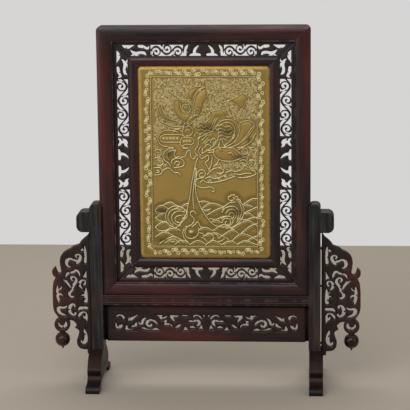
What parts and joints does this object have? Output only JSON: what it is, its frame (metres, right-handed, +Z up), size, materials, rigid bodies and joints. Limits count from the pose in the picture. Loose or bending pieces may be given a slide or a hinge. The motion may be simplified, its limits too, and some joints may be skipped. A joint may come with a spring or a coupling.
{
  "type": "table screen",
  "caption": "Carved hardwood table screen: a framed embossed brass panel with a pierced border, lifted in and out of a grooved stand with pierced side wings.",
  "frame": {"origin": "on the standing surface, under the middle of the whole screen", "axes": "+Z up, +X to the right across the screen seen from the front, -Y the front with the embossed side of the brass"},
  "size_m": [0.7394, 0.234, 0.8605],
  "materials": {
    "screen_wood": "waxed satin",
    "stand_wood": "waxed satin",
    "ball_wood": "polished",
    "brass": "aged satin"
  },
  "bodies": {
    "stand": {"foot_left": "stand_wood", "foot_right": "stand_wood", "post_left": "stand_wood", "post_right": "stand_wood", "ear_left": "stand_wood", "ear_right": "stand_wood", "seat_rail": "stand_wood", "apron": "stand_wood", "wing_left": "stand_wood", "wing_right": "stand_wood", "wing_pegs_left": "stand_wood", "wing_pegs_right": "stand_wood", "drop_ball_left": "ball_wood", "drop_ball_right": "ball_wood"},
    "screen": {"frame_top": "screen_wood", "frame_bottom": "screen_wood", "frame_left": "screen_wood", "frame_right": "screen_wood", "fret_top": "screen_wood", "fret_bottom": "screen_wood", "fret_left": "screen_wood", "fret_right": "screen_wood", "inner_top": "screen_wood", "inner_bottom": "screen_wood", "inner_left": "screen_wood", "inner_right": "screen_wood", "core_board": "screen_wood", "plaque": "brass", "panel_pins": "brass"}
  },
  "joints": [
    {"name": "screen_lift", "type": "slide", "parent": "stand", "child": "screen", "axis": [0, 0, 1], "range_m": [0, 0.25]}
  ]
}
